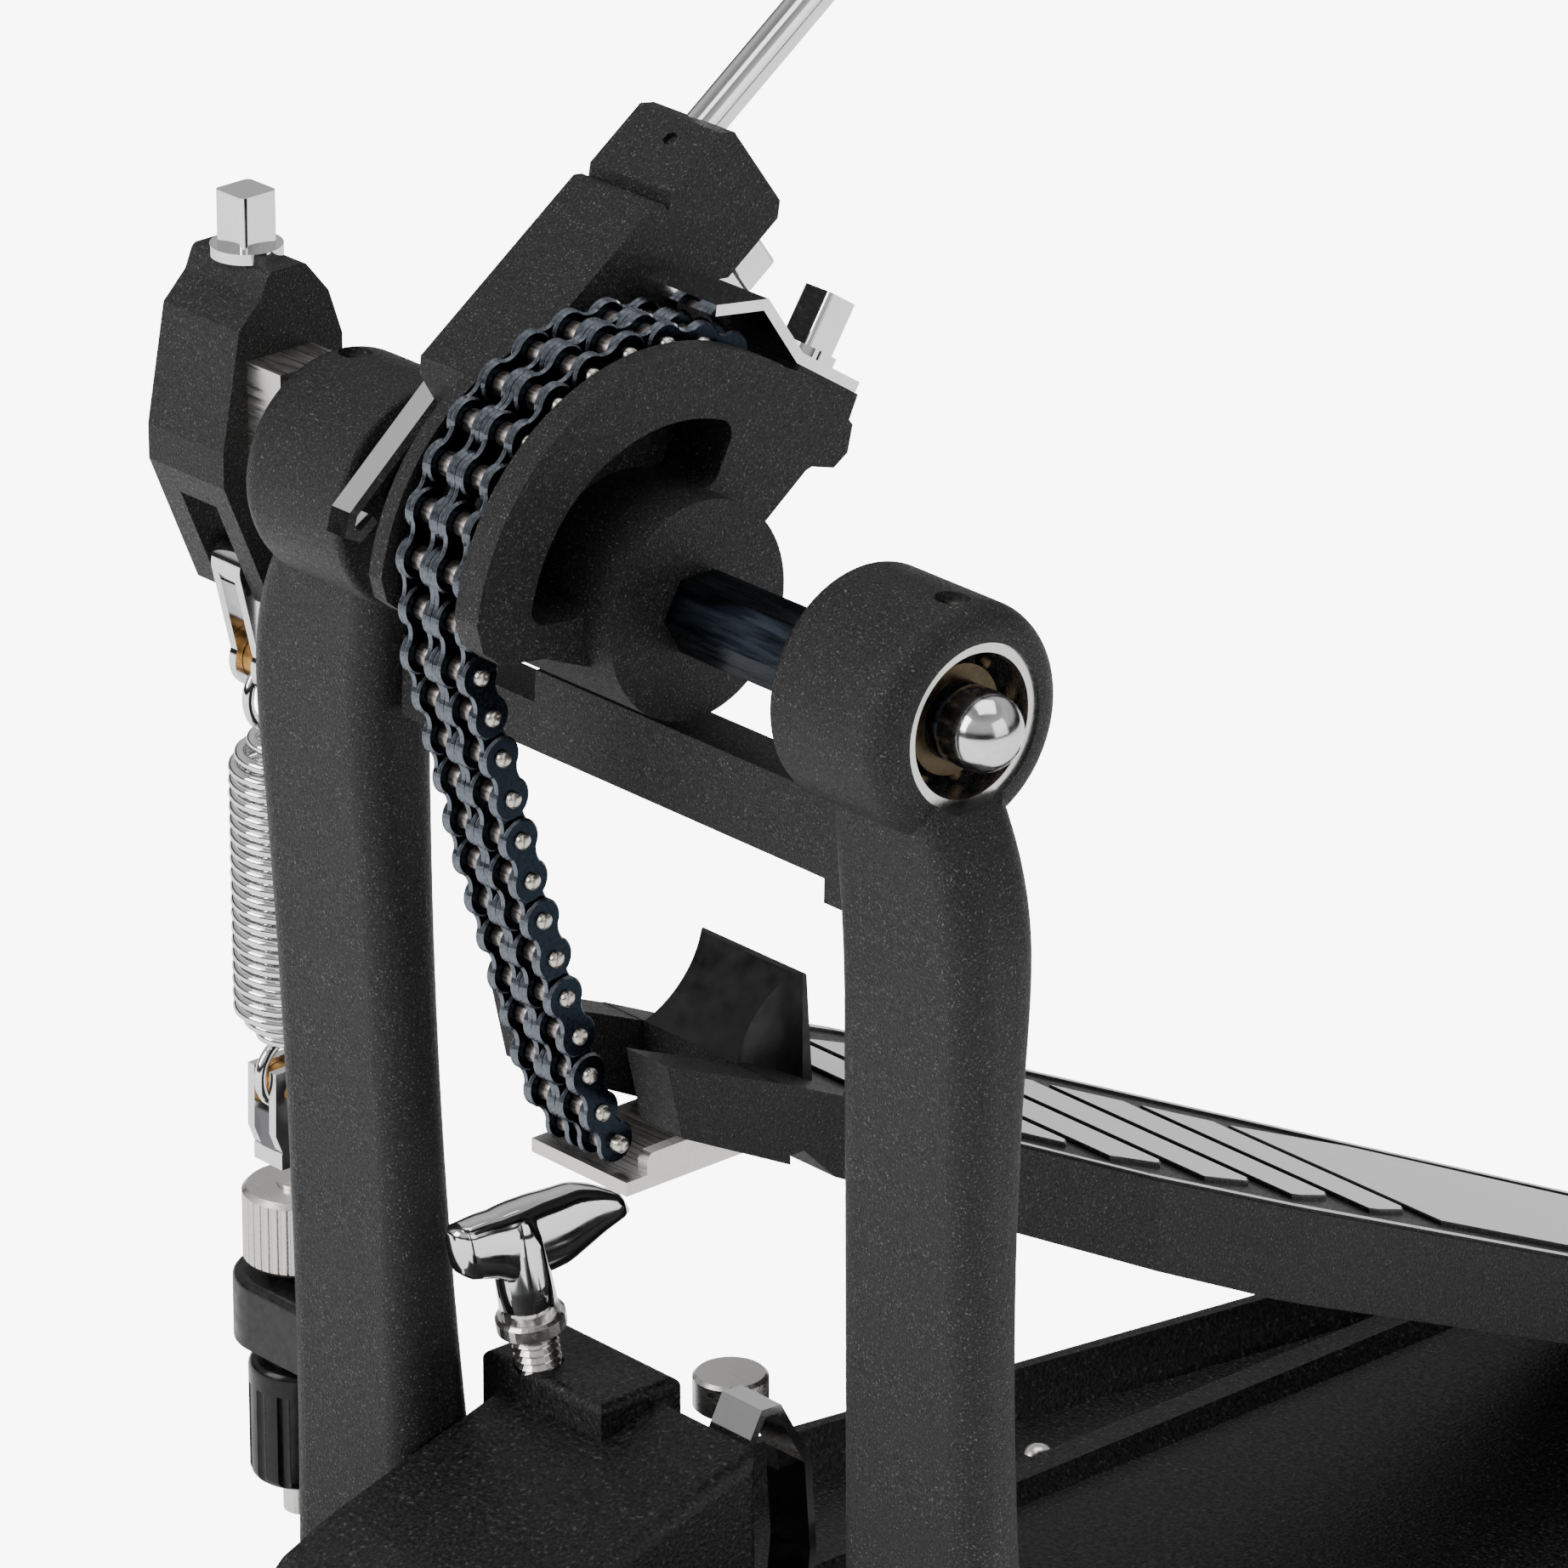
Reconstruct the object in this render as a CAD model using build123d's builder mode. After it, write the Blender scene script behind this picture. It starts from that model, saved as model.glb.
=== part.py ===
from build123d import *
from math import atan2, cos, degrees, hypot, pi, radians, sin
import os

# Bass drum pedal. Origin on the floor under the middle of the axle, +X along the axle
# towards the near post, -Y towards the drum, +Y towards the player, +Z up. Millimetres.

# Driving dimensions
AXLE_Z = 185.0              # axle height above the floor
HOUSING_R = 15.67           # bearing housing radius
HOUSING_IN = 41.56          # inner end of each housing, along X
HOUSING_OUT = 62.97         # outer end of each housing
BEARING_R = 11.0            # bearing outer radius
RING_BORE = 9.6             # bore of the bearing's outer ring
JOURNAL_R = 5.2             # axle journal radius
HEX_FLATS = 10.0            # hex axle across flats
HUB_R = 14.8                # cam hub radius
CAM_R = 33.1                # cam flange radius
PITCH = 6.35                # chain pitch
PITCH_R = 28.65             # pitch circle of the wrapped chain
PITCH_Y = 0.9               # centre of the pitch circle
PITCH_Z = 3.42
CHAIN_X = -6.45             # middle of the chain
STRAND = 3.2                # each strand's offset from the middle
PLATE_H = 6.0               # chain plate height
PLATE_T = 0.75              # chain plate thickness
ROLLER_R = 1.65
PIN_R = 1.15
PIN_HALF = 7.25             # half length of a chain pin
PIN_GAP = 0.05              # running clearance of a roller on its pin
LEAN = 35.0                 # beater axis above the horizontal, degrees
BEATER_X = -24.5            # middle of the beater hub
HUB_HALF = 7.9              # half width of the beater hub
ROD_R = 2.6                 # beater rod radius
ROD_N = 20.8                # rod axis above the radial line through the axle
BOARD_X = -6.5              # middle of the footboard
BOARD_TOP_Y = 17.8          # a point on the footboard's top plane, from the axle
BOARD_TOP_Z = -72.3
BOARD_SLOPE = 0.474         # fall of the top plane towards the heel
HINGE_Y = 222.0             # heel hinge
HINGE_Z = 12.0              # heel hinge above the floor
HINGE_R = 2.5
KNUCKLE_R = 6.5
ROCKER_X = -87.5            # outer face of the spring rocker
ROCKER_W = 15.8
SPRING_X = -78.5            # spring axis
SPRING_R = 7.25
GAP = 0.3                   # clearance between moving pieces
FLOOR_T = 2.0               # base plate thickness
PAD_T = 2.0                 # rubber under the base plate
CASTING_TOP = 20.0          # top of the base casting above the floor
LEVER_X = -42.0             # hoop clamp lever
LEVER_W = 42.0

os.makedirs("parts", exist_ok=True)


def side(x):
    """Plane across the axle at x: local axes are Y and Z counted from the axle."""
    return Plane((x, 0, AXLE_Z), x_dir=(0, 1, 0), z_dir=(1, 0, 0))


def beater_side(x):
    """Plane across the axle at x: local axes are along the beater and square to it."""
    along = (0, cos(radians(LEAN)), sin(radians(LEAN)))
    return Plane((x, 0, AXLE_Z), x_dir=along, z_dir=(1, 0, 0))


def level(z):
    """Level plane at a height counted from the axle."""
    return Plane.XY.offset(AXLE_Z + z)


def plate(points, x, width, mode=Mode.ADD, plane=side):
    """Flat plate with the outline given in the plane, from x on."""
    with BuildSketch(plane(x)) as profile:
        with BuildLine():
            Polyline(*points, close=True)
        make_face()
    extrude(profile.sketch, amount=width, mode=mode)


def disc(y, z, radius, x, width, mode=Mode.ADD, plane=side):
    """Cylinder along the axle."""
    with BuildSketch(plane(x)) as profile:
        with Locations((y, z)):
            Circle(radius)
    extrude(profile.sketch, amount=width, mode=mode)


def hexagon(flats, x, width, mode=Mode.ADD):
    """Hexagonal bar along the axle."""
    with BuildSketch(side(x)) as profile:
        RegularPolygon(flats / 2, 6, major_radius=False)
    extrude(profile.sketch, amount=width, mode=mode)


def column(x, y, radius, z, height, mode=Mode.ADD):
    """Upright cylinder from a height counted from the axle."""
    with BuildSketch(level(z)) as profile:
        with Locations((x, y)):
            Circle(radius)
    extrude(profile.sketch, amount=height, mode=mode)


def block(x, y, z, size_x, size_y, size_z, mode=Mode.ADD):
    """Box from its low corner, with z counted from the axle."""
    with BuildSketch(level(z)) as profile:
        with Locations((x, y)):
            Rectangle(size_x, size_y, align=(Align.MIN, Align.MIN))
    extrude(profile.sketch, amount=size_z, mode=mode)


def ribbon(points, thickness):
    """Outline of a bent strip whose middle runs through the points."""
    left, right = [], []
    for i, (y, z) in enumerate(points):
        before = points[max(i - 1, 0)]
        after = points[min(i + 1, len(points) - 1)]
        a = atan2(z - before[1], y - before[0]) if i else None
        b = atan2(after[1] - z, after[0] - y) if i < len(points) - 1 else None
        a = b if a is None else a
        b = a if b is None else b
        middle = (a + b) / 2
        reach = thickness / 2 / cos((b - a) / 2)
        left.append((y - reach * sin(middle), z + reach * cos(middle)))
        right.append((y + reach * sin(middle), z - reach * cos(middle)))
    return left + right[::-1]


def key_bolt(start, along, length, thread_r, flange_r, square):
    """Square-headed key bolt; start is under the flange and along points to the head."""
    seat = Plane(start, z_dir=along)
    thread = Plane(start, z_dir=tuple(-v for v in along))
    with BuildSketch(seat) as flange:
        Circle(flange_r)
    extrude(flange.sketch, amount=1.5)
    with BuildSketch(seat.offset(1.5)) as head:
        RectangleRounded(square, square, 0.8)
    extrude(head.sketch, amount=7.5)
    with BuildSketch(thread) as shank:
        Circle(thread_r)
    extrude(shank.sketch, amount=length)


def in_beater_frame(u, n):
    """Y and Z, from the axle, of a point given along and square to the beater."""
    a = radians(LEAN)
    return u * cos(a) - n * sin(a), u * sin(a) + n * cos(a)


def save(piece, name):
    piece.part.label = name
    export_step(piece.part, f"parts/{name}.step")


# Posts: a smooth loft through level sections, under a round bearing housing
POST_TOP = -5.0
POST_FOOT = -167.0
POST_STEPS = 15
SHOULDER = ((43.2, 62.4), (43.9, 68.0), (44.8, 70.8))   # inner and outer face under the housing


def bow(z, top, middle, foot):
    """Smooth curve through three values: below the housing, half way down, at the foot."""
    t = (z + 35.0) / (POST_FOOT + 35.0)
    return top * (1 - t) * (1 - 2 * t) + 4 * middle * t * (1 - t) + foot * t * (2 * t - 1)


def post_section(step):
    """Height, inner face, outer face, middle and depth of one level section."""
    z = POST_TOP + (POST_FOOT - POST_TOP) * step / POST_STEPS
    if step < len(SHOULDER):
        return z, *SHOULDER[step], -1.7, 14.0 - 0.3 * step
    return z, bow(z, 45.2, 43.1, 43.0), bow(z, 71.2, 69.1, 69.0), bow(z, -1.7, -0.5, 3.0), bow(z, 13.0, 10.6, 17.0)


SCREW_X = 57.7              # housing set screw
SCREW_LEAN = 3.5
SCREW_R = 2.3
BEARING_X = 55.0

with BuildPart() as post_column:
    for step in range(POST_STEPS + 1):
        height, inner, outer, middle, depth = post_section(step)
        with BuildSketch(level(height)):
            with Locations(((inner + outer) / 2, middle)):
                RectangleRounded(outer - inner, depth, 4.4)
    loft()

with BuildPart() as housing:
    disc(0, 0, HOUSING_R, HOUSING_IN, HOUSING_OUT - HOUSING_IN)
    fillet(housing.edges().filter_by(GeomType.CIRCLE).sort_by(Axis.X)[-1], 4.0)
    fillet(housing.edges().filter_by(GeomType.CIRCLE).sort_by(Axis.X)[0], 1.2)

screw_axis = (0, sin(radians(SCREW_LEAN)), cos(radians(SCREW_LEAN)))
screw_plane = Plane((SCREW_X, 0, AXLE_Z), z_dir=screw_axis)

with BuildPart() as near_post:
    add(post_column.part)
    add(housing.part)
    disc(0, 0, 8.0, HOUSING_IN, HOUSING_OUT - HOUSING_IN, Mode.SUBTRACT)
    disc(0, 0, BEARING_R, BEARING_X, 10.0, Mode.SUBTRACT)
    with BuildSketch(screw_plane) as screw_hole:
        Circle(SCREW_R)
    extrude(screw_hole.sketch, amount=20.0, mode=Mode.SUBTRACT)

with BuildPart() as far_post:
    mirror(near_post.part, about=Plane.YZ)

with BuildPart() as one_set_screw:
    with BuildSketch(screw_plane.offset(BEARING_R)) as screw_body:
        Circle(SCREW_R)
    extrude(screw_body.sketch, amount=3.6)
    with BuildSketch(screw_plane.offset(BEARING_R + 2.6)) as screw_slot:
        Rectangle(0.7, 6.0)
    extrude(screw_slot.sketch, amount=2.0, mode=Mode.SUBTRACT)

with BuildPart() as housing_screws:
    add(one_set_screw.part)
    mirror(one_set_screw.part, about=Plane.YZ)

save(near_post, "near_post")
save(far_post, "far_post")
save(housing_screws, "housing_screws")

# Crossbar between the posts, with a small step near the middle
with BuildPart() as crossbar:
    plate([(-3, -27.5), (5.4, -28.2), (6, -17.0), (-2.4, -16.4)], -18.0, 61.6)
    plate([(-3, -27.5), (5.4, -28.2), (6, -21.6), (-2.4, -21.0)], -43.6, 25.6)
    plate([(-3.6, -30.5), (6.0, -31.0), (6.6, -16.5), (-3.2, -16.0)], 39.0, 4.8)
    plate([(-3.6, -30.5), (6.0, -31.0), (6.6, -19.5), (-3.2, -19.0)], -43.8, 4.8)
    add(near_post.part, mode=Mode.SUBTRACT)
    add(far_post.part, mode=Mode.SUBTRACT)
save(crossbar, "crossbar")

# Bearings: outer rings sit in the housings, inner rings turn with the axle
BALL_R = 1.12
INNER_R = RING_BORE - 2.3
BALL_COUNT = 9

for end, sign in (("near", 1), ("far", -1)):
    low = BEARING_X if sign > 0 else -BEARING_X - 7.4
    with BuildPart() as outer_ring:
        disc(0, 0, BEARING_R, low, 7.4)
        disc(0, 0, RING_BORE, low, 7.4, Mode.SUBTRACT)
    save(outer_ring, f"{end}_bearing_outer_ring")
    low = BEARING_X + 0.4 if sign > 0 else -BEARING_X - 4.4
    with BuildPart() as inner_ring:
        disc(0, 0, INNER_R, low, 4.0)
        disc(0, 0, JOURNAL_R, low, 4.0, Mode.SUBTRACT)
    save(inner_ring, f"{end}_bearing_inner_ring")
    with BuildPart() as balls:
        for turn in range(BALL_COUNT):
            angle = 2 * pi * turn / BALL_COUNT
            radius = (RING_BORE + INNER_R) / 2
            where = (low + 2.0, radius * cos(angle), AXLE_Z + radius * sin(angle))
            with Locations(where):
                Sphere(BALL_R)
    save(balls, f"{end}_bearing_balls")

# Hex axle with round journals and a polished round-nosed end at the near side
with BuildPart() as hex_axle:
    hexagon(HEX_FLATS, -HOUSING_IN + 1.0, 2 * HOUSING_IN - 2.0)
    disc(0, 0, JOURNAL_R, HOUSING_IN - 1.0, 19.9)
    disc(0, 0, JOURNAL_R, -HOUSING_OUT, HOUSING_OUT - HOUSING_IN + 1.0)
    hexagon(8.6, ROCKER_X + 2.5, -HOUSING_OUT - ROCKER_X - 2.5)
save(hex_axle, "hex_axle")

BALL_X = 64.4
with BuildPart() as axle_end:
    disc(0, 0, 4.4, HOUSING_IN + 18.9, 1.0)
    disc(0, 0, 5.25, HOUSING_IN + 19.9, BALL_X - HOUSING_IN - 19.9)
    with Locations((BALL_X, 0, AXLE_Z)):
        Sphere(5.25)
    disc(0, 0, 6.0, HOUSING_IN + 12.0, 6.9, Mode.SUBTRACT)
save(axle_end, "axle_end_ball")

# Cam: hub, two flanges, chain bed and a pocket in the near face
CAM_IN = -16.6
CHAIN_LEFT = -14.1
CHAIN_RIGHT = 1.6
CAM_FACE = 6.0
BED_GAP = 1.2               # felt-free gap under the chain plates
NOSE = [(20.3, 26.2), (24.9, 23.8), (31.3, 15.9), (30.4, 12.2), (28, 10.7), (23.7, 12), (16.4, 6.6)]


def cam_sector(x, width, shrink=0.0):
    """The cam's outline: a round sector from its lower end over the top to the nose."""
    with BuildSketch(side(x)) as outline:
        with BuildLine():
            Polyline((-32.6, 5.1), (-31.6, 1.2), (-28.6, -1.3), (-21.5, -2.3), (-8, -8), *NOSE[::-1])
            ThreePointArc(NOSE[0], (-5.2, 32.7), (-32.6, 5.1))
        make_face()
        if shrink:
            offset(amount=-shrink, mode=Mode.REPLACE)
    extrude(outline.sketch, amount=width)


with BuildPart() as cam_bed:
    cam_sector(CHAIN_LEFT, CHAIN_RIGHT - CHAIN_LEFT)
    with BuildSketch(side(CHAIN_LEFT)) as bed_circle:
        with Locations((PITCH_Y, PITCH_Z)):
            Circle(PITCH_R - PLATE_H / 2 - BED_GAP)
    extrude(bed_circle.sketch, amount=CHAIN_RIGHT - CHAIN_LEFT, mode=Mode.INTERSECT)

CLIP = [(12.2, 34.9), (20.8, 33.6), (26.6, 24.8), (36.6, 18.2)]
CLIP_T = 1.5
CLIP_AXIS = (0, 0.551, 0.834)

with BuildPart() as pocket:
    with BuildSketch(side(-4.0)) as pocket_sketch:
        with BuildLine():
            CenterArc((0, 0), 24.0, 62, 112)
            CenterArc((0, 0), HUB_R, 62, 112)
            Line((24 * cos(radians(62)), 24 * sin(radians(62))),
                 (HUB_R * cos(radians(62)), HUB_R * sin(radians(62))))
            Line((24 * cos(radians(174)), 24 * sin(radians(174))),
                 (HUB_R * cos(radians(174)), HUB_R * sin(radians(174))))
        make_face()
    extrude(pocket_sketch.sketch, amount=12.0)
    fillet(pocket.edges().filter_by(Axis.X), 2.4)

with BuildPart() as cam:
    disc(0, 0, HUB_R, CAM_IN, 11.08 - CAM_IN)
    cam_sector(CHAIN_RIGHT, CAM_FACE - CHAIN_RIGHT)
    cam_sector(CAM_IN, CHAIN_LEFT - CAM_IN, 1.2)
    add(cam_bed.part)
    plate([(14, 14), (26.2, 24.1), (36.2, 17.5), (34.5, 14), (28, 9.5), (16.4, 6.6)],
          CHAIN_LEFT, CHAIN_RIGHT - CHAIN_LEFT)
    add(pocket.part, mode=Mode.SUBTRACT)
    hexagon(HEX_FLATS, CAM_IN, 30.0, Mode.SUBTRACT)
    bolt_seat = Plane((CHAIN_X, 33.3, AXLE_Z + 20.4), z_dir=CLIP_AXIS)
    with BuildSketch(bolt_seat.offset(-9.0)) as clip_hole:
        Circle(2.2)
    extrude(clip_hole.sketch, amount=12.0, mode=Mode.SUBTRACT)
save(cam, "cam")

with BuildPart() as chain_clip:
    plate(ribbon(CLIP, CLIP_T), -13.95, 15.0)
    with BuildSketch(bolt_seat.offset(-3.0)) as clip_pass:
        Circle(2.2)
    extrude(clip_pass.sketch, amount=6.0, mode=Mode.SUBTRACT)
save(chain_clip, "chain_clip")

with BuildPart() as clip_bolt:
    key_bolt(tuple(bolt_seat.offset(CLIP_T / 2).origin), CLIP_AXIS, 8.5, 2.2, 4.2, 5.4)
save(clip_bolt, "clip_bolt")


# Chain: two strands; wrapped part, three links that leave the cam, and the free run
FREE_RUN = [(-27.1, 1.2), (-26.9, -5.2), (-25.1, -11.3), (-23.4, -17.4), (-21.8, -23.5),
            (-20.3, -29.7), (-18.7, -35.8), (-16.8, -41.9), (-14.8, -47.9), (-13.0, -54.0),
            (-10.9, -60.0), (-9.2, -66.1), (-7.0, -72.1), (-3.9, -77.6)]
WRAP_PINS = 10
STEP_ANGLE = degrees(2 * atan2(PITCH / 2, PITCH_R))


def wrapped_pin(i):
    angle = radians(57.0 + STEP_ANGLE * i)
    return PITCH_Y + PITCH_R * cos(angle), PITCH_Z + PITCH_R * sin(angle)


PINS = [wrapped_pin(i) for i in range(WRAP_PINS)] + FREE_RUN


def link_plate(i, x, hole_r):
    """One chain plate from pin i to the next, from x on."""
    (y0, z0), (y1, z1) = PINS[i], PINS[i + 1]
    turn = degrees(atan2(z1 - z0, y1 - y0))
    with BuildSketch(side(x)) as outline:
        with Locations(Location(((y0 + y1) / 2, (z0 + z1) / 2, 0), (0, 0, turn))):
            SlotCenterToCenter(hypot(y1 - y0, z1 - z0), PLATE_H)
        with Locations((y0, z0), (y1, z1)):
            Circle(hole_r, mode=Mode.SUBTRACT)
    extrude(outline.sketch, amount=PLATE_T)


def plates_of(i):
    """Plates of the link from pin i: inner links are even, outer links are odd."""
    for centre in (CHAIN_X - STRAND, CHAIN_X + STRAND):
        if i % 2 == 0:
            link_plate(i, centre - 2.34, PIN_R + PIN_GAP)
            link_plate(i, centre + 2.34 - PLATE_T, PIN_R + PIN_GAP)
        else:
            link_plate(i, centre - 3.15, PIN_R)
            link_plate(i, centre + 3.15 - PLATE_T, PIN_R)


def rollers_of(i):
    """Rollers at both pins of an inner link."""
    for y, z in (PINS[i], PINS[i + 1]):
        for centre in (CHAIN_X - STRAND, CHAIN_X + STRAND):
            disc(y, z, ROLLER_R, centre - 1.59, 3.18)
            disc(y, z, PIN_R + PIN_GAP, centre - 1.59, 3.18, Mode.SUBTRACT)


def pin_of(i):
    y, z = PINS[i]
    disc(y, z, PIN_R, CHAIN_X - PIN_HALF, 2 * PIN_HALF)


LAST_WRAPPED = 6            # pins 0 to 6 stay on the cam at the end of the stroke
LINKS = len(PINS) - 1
with BuildPart() as wrap_plates:
    for link in range(LAST_WRAPPED):
        plates_of(link)
save(wrap_plates, "wrapped_chain_plates")
with BuildPart() as wrap_rollers:
    for link in range(0, LAST_WRAPPED, 2):
        rollers_of(link)
save(wrap_rollers, "wrapped_chain_rollers")
with BuildPart() as wrap_pins:
    for pin in range(LAST_WRAPPED):
        pin_of(pin)
save(wrap_pins, "wrapped_chain_pins")
for number, link in ((1, 6), (2, 7), (3, 8)):
    with BuildPart() as moving_link:
        plates_of(link)
        if link % 2 == 0:
            rollers_of(link)
        else:
            pin_of(link)
            pin_of(link + 1)
    save(moving_link, f"chain_link_{number}")
with BuildPart() as first_pin:
    pin_of(6)
save(first_pin, "leading_chain_pin")
with BuildPart() as run_plates:
    for link in range(9, LINKS):
        plates_of(link)
save(run_plates, "free_chain_plates")
with BuildPart() as run_rollers:
    for link in range(10, LINKS, 2):
        rollers_of(link)
save(run_rollers, "free_chain_rollers")
with BuildPart() as run_pins:
    for pin in range(9, LINKS + 1):
        pin_of(pin)
save(run_pins, "free_chain_pins")

# Beater hub, clamp block, their bolt and the beater
HUB_LEFT = BEATER_X - HUB_HALF
HUB_W = 2 * HUB_HALF
HUB_END = 40.1              # end of the hub along the beater
CLAMP_END = 54.1
BOLT_U = 48.1
with BuildPart() as beater_hub:
    disc(0, 0, HUB_R, HUB_LEFT, HUB_W)
    plate([(-2.0, 12.0), (4.8, 18.5), (5.2, 23.6), (6.8, 25.5), (38.9, 25.5), (HUB_END, 24.4),
           (HUB_END, 3.6), (38.6, 2.0), (26.0, -4.0), (9.0, -10.0), (0.0, 0.0)],
          HUB_LEFT, HUB_W, plane=beater_side)
    disc(30.0, 14.0, 4.6, HUB_LEFT + HUB_W - 0.8, 1.0, Mode.SUBTRACT, beater_side)
    hexagon(HEX_FLATS, HUB_LEFT, HUB_W, Mode.SUBTRACT)
    top_edges = beater_hub.edges().filter_by(Axis.X).sort_by(Axis.Z)[-3:]
    fillet(top_edges, 1.0)
rod_direction = (0, cos(radians(LEAN)), sin(radians(LEAN)))


def rod_plane(u):
    """Plane across the beater rod at a distance along it."""
    y, z = in_beater_frame(u, ROD_N)
    return Plane((BEATER_X, y, AXLE_Z + z), x_dir=(1, 0, 0), z_dir=rod_direction)


def rod_length(u, length, radius, mode=Mode.ADD):
    with BuildSketch(rod_plane(u)) as section:
        Circle(radius)
    extrude(section.sketch, amount=length, mode=mode)


with BuildPart() as beater_hub_bored:
    add(beater_hub.part)
    rod_length(9.0, 60.0, ROD_R + 0.05, Mode.SUBTRACT)
save(beater_hub_bored, "beater_hub")

with BuildPart() as beater_clamp:
    plate([(HUB_END, 9.0), (41.8, 7.5), (52.4, 7.5), (CLAMP_END, 9.2), (CLAMP_END, 23.0),
           (52.4, 24.7), (41.8, 24.7), (HUB_END, 23.0)], HUB_LEFT, HUB_W, plane=beater_side)
    rod_length(30.0, 30.0, ROD_R + 0.05, Mode.SUBTRACT)
    bolt_y, bolt_z = in_beater_frame(BOLT_U, 7.5)
    bolt_down = (0, sin(radians(LEAN)), -cos(radians(LEAN)))
    clamp_seat = Plane((BEATER_X, bolt_y, AXLE_Z + bolt_z), z_dir=tuple(-v for v in bolt_down))
    with BuildSketch(clamp_seat) as clamp_hole:
        Circle(2.5)
    extrude(clamp_hole.sketch, amount=ROD_N - 7.5, mode=Mode.SUBTRACT)
    dimple_y, dimple_z = in_beater_frame(BOLT_U + 1.0, 24.7)
    dimple = Plane((BEATER_X + 1.0, dimple_y, AXLE_Z + dimple_z), z_dir=bolt_down)
    with BuildSketch(dimple) as dimple_sketch:
        RegularPolygon(1.1, 6)
    extrude(dimple_sketch.sketch, amount=0.7, mode=Mode.SUBTRACT)
save(beater_clamp, "beater_clamp")

with BuildPart() as clamp_bolt:
    key_bolt((BEATER_X, bolt_y, AXLE_Z + bolt_z), bolt_down, ROD_N - ROD_R - 7.7, 2.5, 4.6, 6.0)
save(clamp_bolt, "beater_clamp_bolt")

ROD_START = 26.0
HEAD_U = 152.0              # middle of the beater head along the rod
FELT_R = 22.0
with BuildPart() as beater_rod:
    rod_length(ROD_START, HEAD_U + 8.0 - ROD_START, ROD_R)
save(beater_rod, "beater_rod")


def head_plane(n):
    """Plane across the beater head's own axis, which is square to the rod."""
    y, z = in_beater_frame(HEAD_U, n)
    return Plane((BEATER_X, y, AXLE_Z + z), x_dir=(1, 0, 0), z_dir=tuple(-v for v in bolt_down))


with BuildPart() as beater_core:
    with BuildSketch(head_plane(ROD_N - 15.0)) as core_disc:
        Circle(13.0)
    extrude(core_disc.sketch, amount=22.0)
    rod_length(HEAD_U - 26.0, 22.0, 5.5)
    rod_length(HEAD_U - 27.0, 35.0, ROD_R, Mode.SUBTRACT)
save(beater_core, "beater_core")

with BuildPart() as beater_felt:
    with BuildSketch(head_plane(ROD_N - 12.0)) as felt_disc:
        Circle(FELT_R)
    extrude(felt_disc.sketch, amount=34.0)
    fillet(beater_felt.edges().filter_by(GeomType.CIRCLE), 5.0)
    with BuildSketch(head_plane(ROD_N - 15.0)) as felt_seat:
        Circle(13.0)
    extrude(felt_seat.sketch, amount=22.0, mode=Mode.SUBTRACT)
    rod_length(HEAD_U - 26.0, 22.0, 5.5, Mode.SUBTRACT)
save(beater_felt, "beater_felt")

# Stop strip: a bent bright plate fixed along the hub's drum side
STOP = [(13.0, 18.9), (-13.6, 16.6), (-15.6, 15.0), (-14.6, 13.2), (-11.5, 13.2)]
with BuildPart() as stop_plate:
    plate(ribbon(STOP, 1.4), HUB_LEFT - 3.6, 3.6, plane=beater_side)
save(stop_plate, "stop_plate")

# Rocker on the far end of the axle, with its core and bolt
ROCKER = [(-3.4, 20.2), (-2.0, 23.5), (4.2, 23.5), (8.2, 18.6), (10.4, 12.1), (10.5, -4.0),
          (6.0, -15.0), (1.2, -24.0), (-2.4, -24.0), (-10.3, -5.0), (-10.3, 0.0), (-7.2, 16.5)]
TIP_Y = -0.8                # pin in the rocker's tip
TIP_Z = -20.0
TIP_R = 1.5
with BuildPart() as rocker:
    plate(ROCKER, ROCKER_X, ROCKER_W)
    fillet(rocker.edges().filter_by(Axis.X).sort_by(Axis.Z)[-4:], 1.2)
    block(ROCKER_X + 4.5, -14.0, -26.0, 7.5, 30.0, 17.0, Mode.SUBTRACT)
    disc(TIP_Y, TIP_Z, TIP_R, ROCKER_X, ROCKER_W, Mode.SUBTRACT)
    hexagon(8.6, ROCKER_X + 2.5, 20.0, Mode.SUBTRACT)
    column(SPRING_X - 1.0, 0.7, 2.6, 0.0, 30.0, Mode.SUBTRACT)
save(rocker, "rocker")

with BuildPart() as rocker_core:
    plate([(-6.0, -3.6), (5.0, -3.6), (5.0, 12.0), (-6.0, 12.0)], ROCKER_X + ROCKER_W, 6.9)
    hexagon(8.6, ROCKER_X + ROCKER_W, 20.0, Mode.SUBTRACT)
save(rocker_core, "rocker_core")

with BuildPart() as rocker_bolt:
    key_bolt((SPRING_X - 1.0, 0.7, AXLE_Z + 23.5), (0, 0, 1), 18.6, 2.6, 4.95, 6.0)
save(rocker_bolt, "rocker_bolt")

with BuildPart() as tip_pin:
    disc(TIP_Y, TIP_Z, TIP_R, ROCKER_X + 0.6, ROCKER_W - 1.2)
save(tip_pin, "rocker_tip_pin")

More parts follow.
